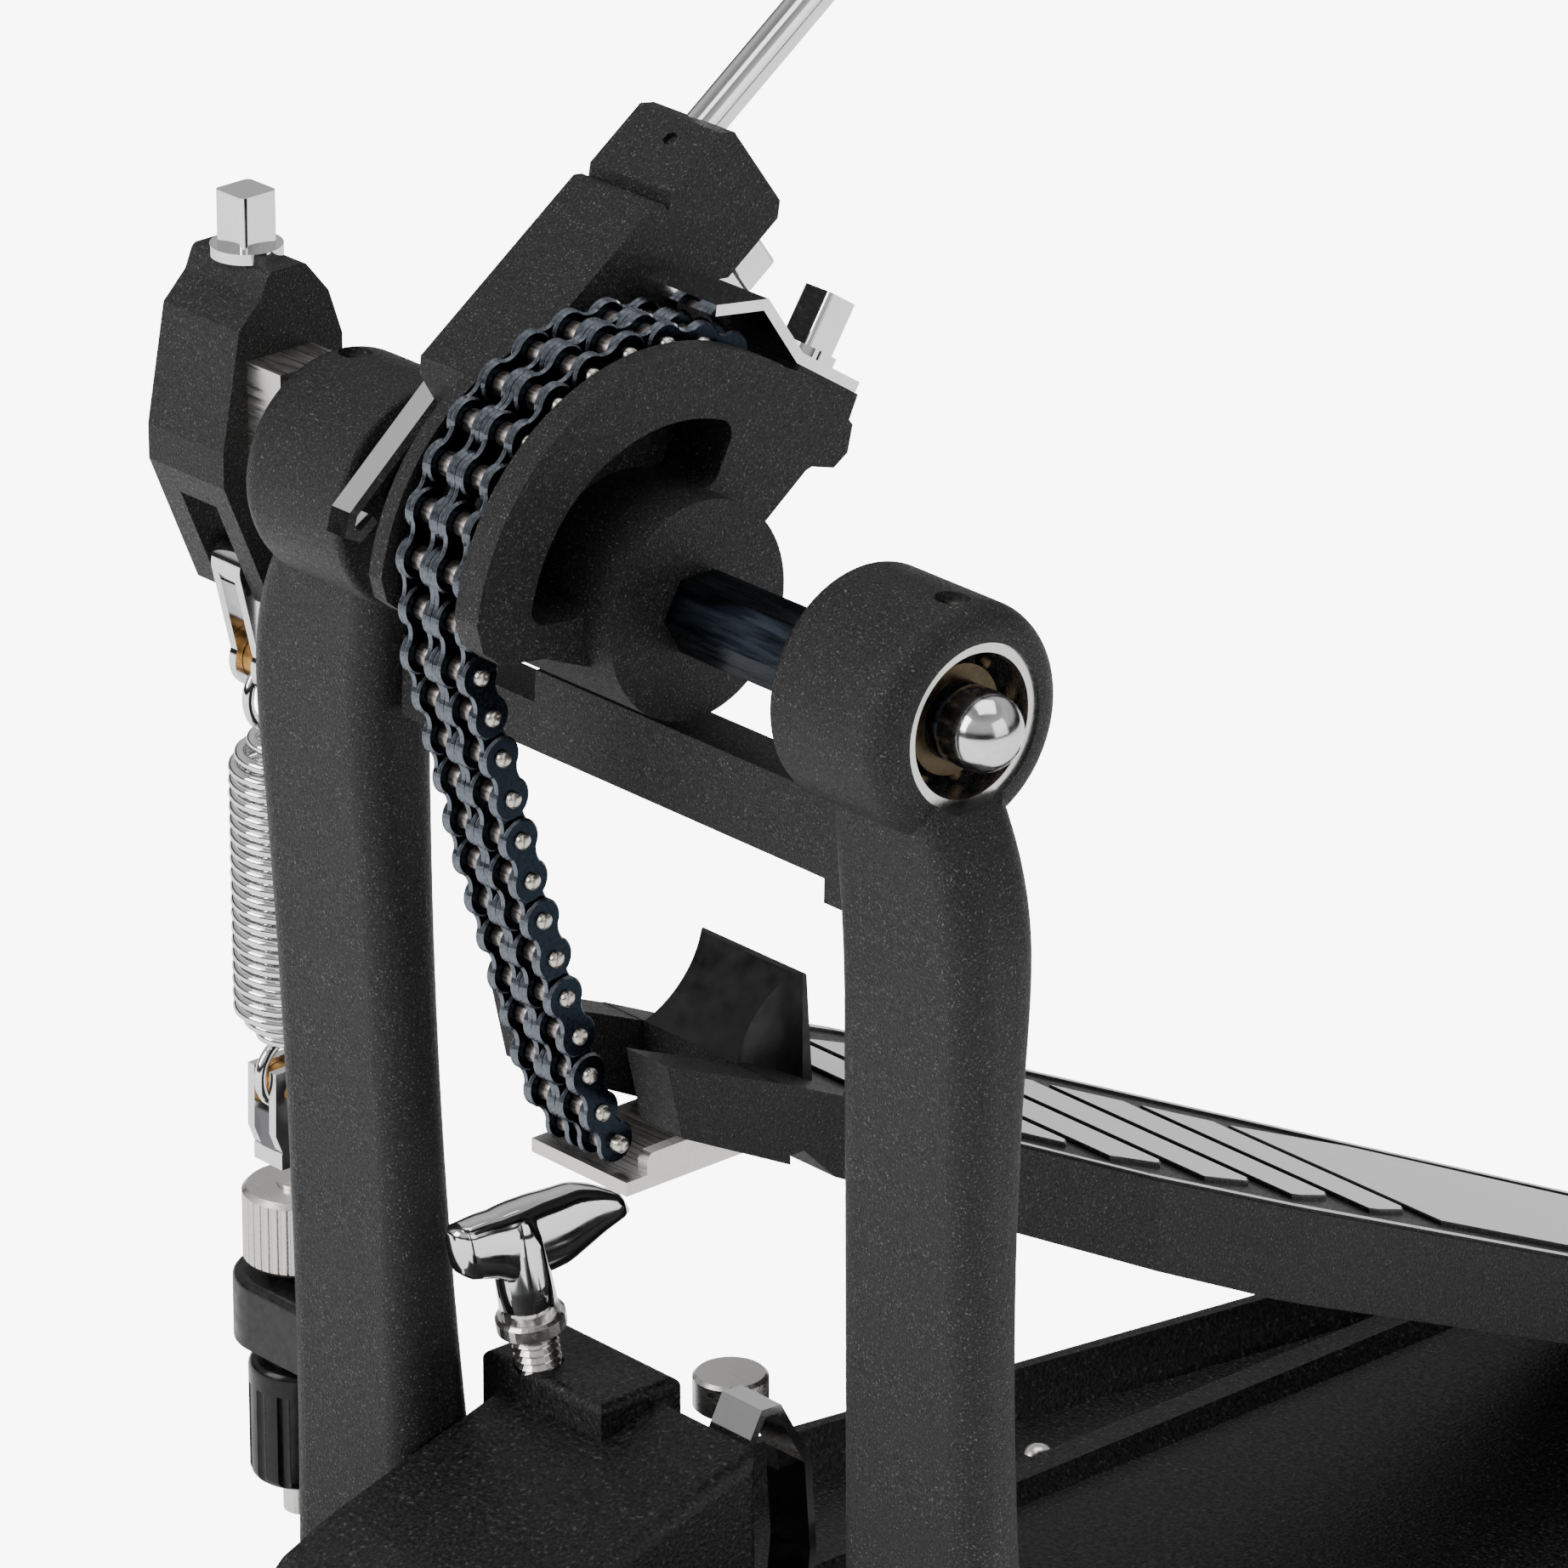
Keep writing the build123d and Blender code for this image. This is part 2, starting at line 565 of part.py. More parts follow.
# Spring train: stirrup on the rocker tip, spring, lower clevis on the tension rod
STIRRUP_X = ROCKER_X + 8.25
EYE_Y = 3.4                 # spring axis
with BuildPart() as stirrup:
    plate(ribbon([(TIP_Y, TIP_Z), (EYE_Y - 0.6, -35.0)], 7.0), STIRRUP_X - 3.0, 1.4)
    plate(ribbon([(TIP_Y, TIP_Z), (EYE_Y - 0.6, -35.0)], 7.0), STIRRUP_X + 1.6, 1.4)
    disc(TIP_Y, TIP_Z, 3.5, STIRRUP_X - 3.0, 6.0)
    disc(EYE_Y - 0.4, -35.0, 4.6, STIRRUP_X - 3.0, 1.4)
    disc(EYE_Y - 0.4, -35.0, 4.6, STIRRUP_X + 1.6, 1.4)
    disc(TIP_Y, TIP_Z, TIP_R + 0.05, STIRRUP_X - 4.0, 8.0, Mode.SUBTRACT)
    disc(EYE_Y - 0.4, -35.0, 1.6, STIRRUP_X - 4.0, 8.0, Mode.SUBTRACT)
save(stirrup, "spring_stirrup")

with BuildPart() as upper_bush:
    disc(EYE_Y - 0.4, -35.0, 3.4, STIRRUP_X - 1.5, 3.0)
    disc(EYE_Y - 0.4, -35.0, 1.6, STIRRUP_X - 4.4, 8.8)
save(upper_bush, "upper_bush")

with BuildPart() as tension_spring:
    column(SPRING_X, EYE_Y + 0.6, SPRING_R, -91.5, 47.0)
save(tension_spring, "tension_spring")

CLEVIS_Z = -99.0
with BuildPart() as lower_bush:
    disc(EYE_Y + 1.0, CLEVIS_Z, 3.4, STIRRUP_X - 1.5, 3.0)
    disc(EYE_Y + 1.0, CLEVIS_Z, 1.6, STIRRUP_X - 4.4, 8.8)
save(lower_bush, "lower_bush")

with BuildPart() as lower_clevis:
    for x in (STIRRUP_X - 3.0, STIRRUP_X + 1.6):
        plate([(0.2, -94.8), (8.6, -94.8), (9.0, -104.0), (7.6, -108.0), (1.6, -108.0), (0.0, -104.0)], x, 1.4)
    block(STIRRUP_X - 3.0, 1.0, -109.4, 6.0, 7.4, 2.4)
    disc(EYE_Y + 1.0, CLEVIS_Z, 1.6, STIRRUP_X - 4.4, 8.8, Mode.SUBTRACT)
save(lower_clevis, "lower_clevis")

ROD_Y = 5.6                 # tension rod and arm
with BuildPart() as tension_rod:
    column(SPRING_X, ROD_Y, 2.9, -163.0, 50.2)
save(tension_rod, "tension_rod")

NUT_Z = -124.6
with BuildPart() as knurled_nut:
    column(SPRING_X, ROD_Y, 7.8, NUT_Z, 11.2)
    chamfer(knurled_nut.edges().filter_by(GeomType.CIRCLE), 0.7)
    with BuildSketch(level(NUT_Z + 0.7)) as flutes:
        with PolarLocations(7.9, 36):
            Circle(0.35)
    extrude([face.moved(Location((SPRING_X, ROD_Y, 0))) for face in flutes.sketch.faces()],
            amount=9.8, mode=Mode.SUBTRACT)
    column(SPRING_X, ROD_Y, 2.95, NUT_Z - 1.0, 14.0, Mode.SUBTRACT)
save(knurled_nut, "knurled_nut")

ARM_TOP = -126.0
ARM_T = 10.0
with BuildPart() as tension_arm:
    column(SPRING_X, ROD_Y, 9.3, ARM_TOP - ARM_T, ARM_T)
    block(SPRING_X, ROD_Y - 9.3, ARM_TOP - ARM_T, 14.0, 18.6, ARM_T)
    fillet(tension_arm.edges().group_by(Axis.Z)[-1], 1.2)
    column(SPRING_X, ROD_Y, 4.6, ARM_TOP - ARM_T, ARM_T + 1.0)
    add(far_post.part, mode=Mode.SUBTRACT)
    column(SPRING_X, ROD_Y, 2.95, ARM_TOP - ARM_T - 1.0, ARM_T + 3.0, Mode.SUBTRACT)
arm_body = tension_arm.part.solids().sort_by(Axis.X)[0]
with BuildPart() as tension_arm_kept:
    add(arm_body)
save(tension_arm_kept, "tension_arm")

with BuildPart() as lock_knob:
    column(SPRING_X, ROD_Y, 5.6, -139.2, 3.0)
    column(SPRING_X, ROD_Y, 7.4, -157.5, 18.3)
    fillet(lock_knob.edges().filter_by(GeomType.CIRCLE).sort_by(SortBy.RADIUS)[-2:], 1.6)
    with BuildSketch(level(-160.0)) as knob_flutes:
        with PolarLocations(8.2, 12):
            Circle(1.3)
    extrude([face.moved(Location((SPRING_X, ROD_Y, 0))) for face in knob_flutes.sketch.faces()],
            amount=17.0, mode=Mode.SUBTRACT)
    column(SPRING_X, ROD_Y, 2.95, -160.0, 26.0, Mode.SUBTRACT)
save(lock_knob, "lock_knob")

# Footboard: forked toe, a straight top plane, side skirts and a heel knuckle
HEEL_Y = 214.0
KNUCKLE_HALF = 15.0


def top_z(y):
    return BOARD_TOP_Z - BOARD_SLOPE * (y - BOARD_TOP_Y)


WIDTHS = [(14.0, 17.5), (26.0, 17.5), (45.0, 28.5), (68.0, 33.5), (95.0, 34.0), (120.0, 32.0),
          (174.0, 28.0), (HEEL_Y, 26.0)]
HINGE_REL = HINGE_Z - AXLE_Z
BRACKET_TOP = -81.6         # top of the chain bracket, from the axle


def board_outline(inset):
    right = [(BOARD_X + half - inset, y) for y, half in WIDTHS]
    left = [(BOARD_X - half + inset, y) for y, half in WIDTHS]
    return right + left[::-1]


with BuildPart() as board_solid:
    plate([(13.0, top_z(13.0)), (HEEL_Y, top_z(HEEL_Y)), (HEEL_Y, top_z(HEEL_Y) - 12.0),
           (90.0, top_z(90.0) - 14.0), (24.0, top_z(24.0) - 12.0), (18.4, BRACKET_TOP), (13.0, BRACKET_TOP)],
          BOARD_X - 40.0, 80.0)
    with BuildSketch(level(-200.0)) as plan:
        with BuildLine():
            Polyline(*board_outline(0.0), close=True)
        make_face()
    extrude(plan.sketch, amount=200.0, mode=Mode.INTERSECT)

with BuildPart() as board_hollow:
    plate([(24.0, top_z(24.0) - 4.0), (HEEL_Y - 4.0, top_z(HEEL_Y - 4.0) - 4.0),
           (HEEL_Y - 4.0, top_z(HEEL_Y) - 30.0), (24.0, top_z(24.0) - 30.0)],
          BOARD_X - 40.0, 80.0)
    with BuildSketch(level(-200.0)) as inner_plan:
        with BuildLine():
            Polyline(*board_outline(3.2), close=True)
        make_face()
    extrude(inner_plan.sketch, amount=200.0, mode=Mode.INTERSECT)

with BuildPart() as footboard:
    add(board_solid.part)
    add(board_hollow.part, mode=Mode.SUBTRACT)
    for x in (BOARD_X - 17.5, BOARD_X + 9.5):
        plate([(-5.5, top_z(-3.5)), (16.0, top_z(16.0)), (16.0, top_z(16.0) - 11.5),
               (-3.0, top_z(-3.5) - 11.0)], x, 8.0)
    plate([(HEEL_Y - 5.0, top_z(HEEL_Y - 5.0)), (HEEL_Y, top_z(HEEL_Y)), (HINGE_Y, HINGE_REL + 6.5),
           (HINGE_Y, HINGE_REL - 6.5), (HEEL_Y - 5.0, top_z(HEEL_Y - 5.0) - 11.0)],
          BOARD_X - KNUCKLE_HALF, 2 * KNUCKLE_HALF)
    disc(HINGE_Y, HINGE_REL, KNUCKLE_R, BOARD_X - KNUCKLE_HALF, 2 * KNUCKLE_HALF)
    block(-15.0, 12.0, BRACKET_TOP, 17.0, 6.2, 4.0)
    disc(HINGE_Y, HINGE_REL, HINGE_R + 0.05, BOARD_X - 25.0, 50.0, Mode.SUBTRACT)
save(footboard, "footboard")

# Toe stop on the board
with BuildPart() as toe_stop:
    plate([(14.0, top_z(14.0)), (24.0, -60.4), (25.6, -60.6), (26.6, top_z(26.6))], -16.5, 20.0)
    fillet(toe_stop.edges().filter_by(Axis.X).sort_by(Axis.Z)[-2:], 0.7)
    with BuildSketch(level(-90.0)) as scoops:
        with Locations((-16.5 - 5.4, 19.0), (3.5 + 5.4, 19.0)):
            Circle(8.0)
    extrude(scoops.sketch, amount=40.0, mode=Mode.SUBTRACT)
save(toe_stop, "toe_stop")

# Bracket under the toe that takes the end of the chain, and its screw
BRACKET_T = 2.0
BRACKET_SCREW_Y = 14.6
with BuildPart() as chain_bracket:
    block(-16.0, -5.6, BRACKET_TOP - BRACKET_T, 19.0, 23.2, BRACKET_T)
    block(1.2, -2.0, BRACKET_TOP - BRACKET_T, 1.8, 13.6, 5.0)
    fillet(chain_bracket.edges().filter_by(Axis.X).sort_by(Axis.Z)[-2:], 1.2)
    column(BOARD_X, BRACKET_SCREW_Y, 2.0, -95.0, 30.0, Mode.SUBTRACT)
save(chain_bracket, "chain_bracket")

with BuildPart() as bracket_screw:
    with Locations((BOARD_X, BRACKET_SCREW_Y, AXLE_Z + BRACKET_TOP - BRACKET_T + 1.2)):
        Sphere(4.0)
    block(BOARD_X - 5.0, BRACKET_SCREW_Y - 5.0, BRACKET_TOP - BRACKET_T, 10.0, 10.0, 6.0, Mode.SUBTRACT)
    column(BOARD_X, BRACKET_SCREW_Y, 2.0, BRACKET_TOP - BRACKET_T, BRACKET_T)
save(bracket_screw, "bracket_screw")

# Base: plate, casting, heel block, hinge pin, pads and rivets
PLATE_LOW = -AXLE_Z + PAD_T
PLATE_TOP = PLATE_LOW + FLOOR_T
FLANGE_H = 9.0
FLANGE_LEAN = 21.0
BASE = [(-22.0, 80.0), (20.0, 79.0), (296.0, 33.5)]


def base_outline(inset):
    right = [(half - inset, y) for y, half in BASE]
    left = [(-half + inset, y) for y, half in BASE]
    return right + left[::-1]


def tray_body(inset, z, mode):
    """Flaring tray shape from a level up to the flange top."""
    with BuildSketch(level(z)) as tray:
        with BuildLine():
            Polyline(*base_outline(inset), close=True)
        make_face()
    extrude(tray.sketch, amount=PLATE_LOW + FLANGE_H - z, taper=-FLANGE_LEAN, mode=mode)


RIDGE_Y = 42.0
with BuildPart() as base_plate:
    tray_body(3.5, PLATE_LOW, Mode.ADD)
    tray_body(4.6, PLATE_TOP, Mode.SUBTRACT)
    block(-90.0, -40.0, PLATE_LOW - 1.0, 180.0, 18.5, 20.0, Mode.SUBTRACT)
    block(-90.0, 290.0, PLATE_LOW - 1.0, 180.0, 20.0, 20.0, Mode.SUBTRACT)
    for x in (-42.0, 42.0):
        with BuildSketch(Plane((x, RIDGE_Y, AXLE_Z + PLATE_TOP), x_dir=(1, 0, 0), z_dir=(0, -1, 0))) as ridge:
            Trapezoid(9.0, 2.6, 50.0, align=(Align.CENTER, Align.MIN))
        extrude(ridge.sketch, amount=-150.0)
save(base_plate, "base_plate")

with BuildPart() as plate_rivets:
    for x, y in ((-49.0, 118.0), (49.0, 118.0), (-30.0, 206.0), (30.0, 206.0)):
        with Locations((x, y, AXLE_Z + PLATE_TOP - 1.6)):
            Sphere(2.75)
    block(-60.0, 100.0, PLATE_TOP - 6.0, 120.0, 120.0, 6.0, Mode.SUBTRACT)
save(plate_rivets, "plate_rivets")

with BuildPart() as rubber_pads:
    for x, y, size_x, size_y in ((-66.0, -19.0, 132.0, 40.0), (-33.0, 236.0, 66.0, 44.0)):
        block(x, y, -AXLE_Z, size_x, size_y, PAD_T)
    fillet(rubber_pads.edges().filter_by(Axis.Z), 5.0)
save(rubber_pads, "rubber_pads")

# Hoop clamp: lips and cheeks on the casting, a lever on a pin, and the parts that work it
CLAMP_PIN_Y = -16.0
CLAMP_PIN_Z = -159.0
CLAMP_PIN_R = 3.0
CHEEK_TOP = -152.0
STOP_X = -20.0
STOP_Y = 33.0
LIP_FRONT = -46.0
WING = Plane((-37.6, 13.6, AXLE_Z - 127.5), x_dir=(0, 0.982, 0.19), z_dir=(0, -0.19, 0.982))
WING_THREAD = 3.35

with BuildPart() as base_casting:
    block(-69.5, -19.0, PLATE_TOP, 139.0, 58.0, POST_FOOT - PLATE_TOP)
    for x in (LEVER_X - 6.3, LEVER_X + LEVER_W + 0.5):
        plate([(-26.0, PLATE_TOP), (-8.0, PLATE_TOP), (-8.5, -156.0), (-11.0, CHEEK_TOP),
               (-20.0, CHEEK_TOP), (-25.0, -157.0)], x, 5.8)
    block(LEVER_X - 6.3, LIP_FRONT, PLATE_TOP, LEVER_W + 12.6, 28.0, 6.0)
    fillet(base_casting.edges().filter_by(Axis.Z).group_by(Axis.Y)[0], 5.0)
    disc(CLAMP_PIN_Y, CLAMP_PIN_Z, CLAMP_PIN_R, LEVER_X - 10.0, LEVER_W + 20.0, Mode.SUBTRACT)
    column(STOP_X, STOP_Y, 2.4, POST_FOOT - 8.0, 10.0, Mode.SUBTRACT)
save(base_casting, "base_casting")

with BuildPart() as clamp_pin:
    disc(CLAMP_PIN_Y, CLAMP_PIN_Z, CLAMP_PIN_R, LEVER_X - 6.0, LEVER_W + 12.0)
save(clamp_pin, "clamp_pivot_pin")

with BuildPart() as clamp_lever:
    plate([(20.5, -130.6), (-19.0, -142.0), (-28.0, -145.6), (-35.0, -152.0), (-38.0, -165.5),
           (-29.0, -166.0), (-22.0, -164.5), (-10.0, -164.5), (2.0, -156.0), (20.5, -150.0)],
          LEVER_X, LEVER_W)
    fillet(clamp_lever.edges().filter_by(Axis.X).filter_by_position(Axis.Y, -37.0, -25.0), 3.0)
    fillet(clamp_lever.edges().group_by(Axis.X)[-1].filter_by_position(
        Axis.Z, AXLE_Z - 150.0, AXLE_Z - 130.0), 2.0)
    block(-45.5, 10.5, -150.0, 24.5, 14.3, 21.6)
    fillet(clamp_lever.edges().filter_by_position(Axis.Z, AXLE_Z - 128.5, AXLE_Z - 128.3), 1.4)
    disc(CLAMP_PIN_Y, CLAMP_PIN_Z, CLAMP_PIN_R + 0.05, LEVER_X - 5.0, LEVER_W + 10.0, Mode.SUBTRACT)
    with BuildSketch(WING.offset(-40.0)) as wing_hole:
        Circle(WING_THREAD + 0.05)
    extrude(wing_hole.sketch, amount=60.0, mode=Mode.SUBTRACT)
save(clamp_lever, "clamp_lever")

with BuildPart() as wing_bolt:
    with BuildSketch(WING.offset(-29.0)) as wing_thread:
        Circle(WING_THREAD)
    extrude(wing_thread.sketch, amount=31.0)
    with BuildSketch(WING.offset(5.0)) as wing_collar:
        Circle(4.9)
    extrude(wing_collar.sketch, amount=2.2)
    with BuildSketch(WING.offset(7.2)) as stem_foot:
        Circle(4.0)
    extrude(stem_foot.sketch, amount=15.0)
    with BuildSketch(WING) as wing_neck:
        Circle(WING_THREAD)
    extrude(wing_neck.sketch, amount=6.0)
    wing_face = Plane(WING.origin - Vector(3.2, 0, 0), x_dir=WING.x_dir, z_dir=(1, 0, 0))
    with BuildSketch(wing_face) as wings:
        with BuildLine():
            Polyline((-3.4, 12), (-4.4, 19), (-12, 21), (-18.5, 25), (-19, 29), (-14, 31.5),
                     (-2, 30), (3, 29.6), (12, 31.4), (16.6, 33), (18, 31), (14.5, 25), (7.4, 18), (3.6, 12),
                     close=True)
        make_face()
    extrude(wings.sketch, amount=6.4)
    fillet(wing_bolt.edges().filter_by(Axis.X), 0.8)
save(wing_bolt, "wing_bolt")

with BuildPart() as stop_screw:
    column(STOP_X, STOP_Y, 5.25, -135.2, 5.2)
    chamfer(stop_screw.edges().filter_by(GeomType.CIRCLE), 0.5)
    column(STOP_X, STOP_Y, 2.4, POST_FOOT - 6.0, -135.2 - POST_FOOT + 6.0)
save(stop_screw, "clamp_stop_screw")

with BuildPart() as return_spring:
    plate(ribbon([(23.0, -133.2), (25.6, -128.4), (28.4, -128.6), (33.6, -138.0), (34.6, -152.0),
                  (33.0, POST_FOOT + 0.6), (24.0, POST_FOOT + 0.6)], 1.2), -13.0, 8.0)
save(return_spring, "clamp_return_spring")

# Heel block with lugs around the hinge pin
LUG_GAP = 0.6
HEEL_HALF = 23.4
with BuildPart() as heel_block:
    plate([(229.4, PLATE_TOP), (229.4, HINGE_REL + 6.0), (234.0, HINGE_REL + 7.0), (284.0, HINGE_REL + 1.0),
           (287.0, HINGE_REL - 2.0), (288.0, PLATE_TOP)], BOARD_X - HEEL_HALF, 2 * HEEL_HALF)
    for x in (BOARD_X - HEEL_HALF, BOARD_X + KNUCKLE_HALF + LUG_GAP):
        disc(HINGE_Y, HINGE_REL, KNUCKLE_R, x, HEEL_HALF - KNUCKLE_HALF - LUG_GAP)
        plate([(HINGE_Y, HINGE_REL - 6.5), (230.0, PLATE_TOP), (230.0, HINGE_REL + 6.0),
               (HINGE_Y, HINGE_REL + 6.5)], x, HEEL_HALF - KNUCKLE_HALF - LUG_GAP)
    disc(HINGE_Y, HINGE_REL, HINGE_R, BOARD_X - 35.0, 70.0, Mode.SUBTRACT)
save(heel_block, "heel_block")

with BuildPart() as heel_pin:
    disc(HINGE_Y, HINGE_REL, HINGE_R, BOARD_X - HEEL_HALF, 2 * HEEL_HALF)
save(heel_pin, "heel_hinge_pin")
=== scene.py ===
import math

import bmesh
import bpy
from mathutils import Matrix, Vector


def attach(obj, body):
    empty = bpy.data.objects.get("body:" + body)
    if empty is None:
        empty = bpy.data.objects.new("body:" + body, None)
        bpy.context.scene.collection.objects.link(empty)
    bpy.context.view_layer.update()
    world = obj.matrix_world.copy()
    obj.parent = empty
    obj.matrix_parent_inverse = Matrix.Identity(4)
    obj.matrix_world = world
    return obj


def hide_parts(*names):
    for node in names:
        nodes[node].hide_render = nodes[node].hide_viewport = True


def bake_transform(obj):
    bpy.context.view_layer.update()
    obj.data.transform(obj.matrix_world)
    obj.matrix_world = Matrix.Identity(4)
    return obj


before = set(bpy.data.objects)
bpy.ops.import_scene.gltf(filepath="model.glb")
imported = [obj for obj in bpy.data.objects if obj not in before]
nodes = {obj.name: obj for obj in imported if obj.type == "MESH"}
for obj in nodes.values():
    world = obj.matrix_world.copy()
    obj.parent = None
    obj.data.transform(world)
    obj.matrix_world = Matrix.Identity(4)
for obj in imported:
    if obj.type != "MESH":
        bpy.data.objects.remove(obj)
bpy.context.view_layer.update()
MM = 0.001
AXLE = 0.185                # axle height above the floor, in metres

# Sizes in millimetres, counted from the axle
CHAIN_X = -6.45             # middle of the chain
STRAND = 3.2                # each strand's offset from the middle
INNER_PLATE = (1.59, 2.34)  # faces of a plate, from the middle of its strand
OUTER_PLATE = (2.40, 3.12)
PLATE_END_R = 3.0
PLATE_WAIST = 2.02          # half height between the pins
ROLLER_R = 1.65
PIN_R = 1.14
PIN_HALF = 7.2
LAST_WRAPPED = 6            # pins up to this one stay on the cam
SPRING_X, SPRING_Y = -78.5, 4.0
SPRING_R = 6.4              # to the middle of the wire
WIRE_R = 0.85
COILS = 23.0
COIL_TOP_Z = -45.4
COIL_LENGTH = 45.2
COIL_TAPER = 0.11           # share of the length that narrows at each end
EYE_R = 4.9                 # rings round the two bushes
BOARD_X = -6.5              # middle of the footboard
BOARD_TOP_Y, BOARD_TOP_Z = 17.8, -72.3
BOARD_SLOPE = 0.474
BEATER_X = -24.5
BEATER_LEAN = 35.0          # degrees above level, at rest
HEAD_U = 152.0              # beater head, along the beater from the axle
HEAD_N = 25.8               # middle of the head, square to the beater


# ---------------------------------------------------------------- materials
def tree(name):
    """New material: its node tree, its shader and the object coordinates."""
    m = bpy.data.materials.new(name)
    m.use_nodes = True
    nt = m.node_tree
    shader = next(n for n in nt.nodes if n.type == "BSDF_PRINCIPLED")
    where = nt.nodes.new("ShaderNodeTexCoord").outputs["Object"]
    return m, nt, shader, where


def noise(nt, where, scale, detail=2.0, stretch=None):
    """Noise value, its pattern squeezed along each axis by stretch."""
    if stretch:
        squeeze = nt.nodes.new("ShaderNodeMapping")
        squeeze.inputs["Scale"].default_value = stretch
        nt.links.new(where, squeeze.inputs["Vector"])
        where = squeeze.outputs["Vector"]
    n = nt.nodes.new("ShaderNodeTexNoise")
    n.inputs["Scale"].default_value = scale
    n.inputs["Detail"].default_value = detail
    nt.links.new(where, n.inputs["Vector"])
    return n.outputs["Fac"]


def ramp(nt, value, stops):
    """Colour ramp; a stop is (position, grey or colour)."""
    r = nt.nodes.new("ShaderNodeValToRGB")
    while len(r.color_ramp.elements) < len(stops):
        r.color_ramp.elements.new(0.5)
    for element, (at, colour) in zip(r.color_ramp.elements, stops):
        element.position = at
        c = colour if isinstance(colour, tuple) else (colour, colour, colour)
        element.color = (*c, 1)
    nt.links.new(value, r.inputs["Fac"])
    return r.outputs["Color"]


def bump(nt, shader, height, strength, distance):
    """Fine relief on a shader, distance in metres."""
    b = nt.nodes.new("ShaderNodeBump")
    b.inputs["Strength"].default_value = strength
    b.inputs["Distance"].default_value = distance
    nt.links.new(height, b.inputs["Height"])
    nt.links.new(b.outputs["Normal"], shader.inputs["Normal"])


def coat(name, dark, light, grain, rough, strength, speck=0.0):
    """Textured powder coat: a coarse skin with small pale glints."""
    m, nt, s, where = tree(name)
    skin = noise(nt, where, grain, 3.0)
    stops = [(0.36, dark), (0.62, light)]
    if speck:
        stops += [(0.635, light), (0.70, speck)]
    nt.links.new(ramp(nt, skin, stops), s.inputs["Base Color"])
    nt.links.new(ramp(nt, noise(nt, where, grain * 0.6), [(0.3, rough - 0.1), (0.7, rough + 0.12)]),
                 s.inputs["Roughness"])
    s.inputs["Specular IOR Level"].default_value = 0.28
    bump(nt, s, skin, strength, 0.0002)
    return m


def metal(name, colour, low, high, stretch=(1, 1, 1), scale=900.0, strength=0.0, tint=0.88):
    """Bare or plated metal with worn, uneven gloss; stretch gives a brushed grain."""
    m, nt, s, where = tree(name)
    s.inputs["Metallic"].default_value = 1.0
    streak = noise(nt, where, scale, 3.0, stretch)
    dull = tuple(c * tint for c in colour)
    nt.links.new(ramp(nt, streak, [(0.3, dull), (0.65, colour)]), s.inputs["Base Color"])
    nt.links.new(ramp(nt, streak, [(0.3, low), (0.7, high)]), s.inputs["Roughness"])
    if strength:
        bump(nt, s, streak, strength, 0.00006)
    return m


CASTING = coat("casting_powder_coat", 0.001, 0.019, 3400.0, 0.5, 1.0, 0.13)
BASE = coat("base_powder_coat", 0.002, 0.017, 1700.0, 0.42, 0.9, 0.07)
BOARD = coat("board_powder_coat", 0.001, 0.018, 3200.0, 0.5, 1.0, 0.10)
SATIN = coat("satin_black", 0.006, 0.014, 900.0, 0.34, 0.06)
GLOSS = coat("knob_black", 0.004, 0.009, 700.0, 0.24, 0.05)
STOP = coat("stop_black", 0.004, 0.008, 500.0, 0.36, 0.05)
RUBBER = coat("rubber_black", 0.012, 0.03, 800.0, 0.75, 0.2)
CHROME = metal("chrome_plate", (0.82, 0.82, 0.83), 0.05, 0.11, scale=260.0, tint=0.96)
NICKEL = metal("nickel_plate", (0.74, 0.72, 0.69), 0.16, 0.30, scale=700.0, strength=0.08)
BRUSHED = metal("brushed_nickel", (0.72, 0.70, 0.67), 0.22, 0.42, (0.05, 1, 1), 2600.0, 0.15)
RING = metal("ground_ring", (0.74, 0.73, 0.71), 0.2, 0.34, (3, 0.3, 0.3), 1500.0, 0.1)
POLISHED = metal("polished_ball", (0.76, 0.76, 0.77), 0.1, 0.2, (0.2, 1, 1), 900.0, 0.03)
BLUED = metal("blued_steel", (0.035, 0.045, 0.06), 0.16, 0.36, (0.1, 1, 1), 900.0, 0.1, 0.5)
PLATE = metal("blackened_plate", (0.014, 0.021, 0.031), 0.2, 0.36, scale=1800.0, strength=0.06, tint=0.5)
# Lighter colour for the chain plates' rims and chamfers: a painted edge highlight
PLATE_EDGE_HIGHLIGHT = metal("plate_edge_painted_highlight", (0.17, 0.19, 0.22), 0.24, 0.4, scale=1500.0, tint=0.6)
ROLLER = metal("roller_steel", (0.36, 0.32, 0.30), 0.26, 0.42, (0.1, 1, 1), 2600.0, 0.1, 0.7)
PINS = metal("pin_steel", (0.66, 0.62, 0.56), 0.22, 0.34, scale=1400.0, strength=0.05)
BRONZE = metal("oiled_bronze", (0.62, 0.33, 0.10), 0.25, 0.42, scale=1100.0, strength=0.06, tint=0.6)
BRONZE_CAGE = metal("bearing_inside", (0.10, 0.075, 0.045), 0.3, 0.5, scale=900.0, tint=0.5)
ALUMINIUM = metal("brushed_aluminium", (0.93, 0.93, 0.92), 0.42, 0.58, (0.06, 1, 1), 3200.0, 0.18, 0.92)
satin = next(n for n in ALUMINIUM.node_tree.nodes if n.type == "BSDF_PRINCIPLED")
satin.inputs["Metallic"].default_value = 0.45


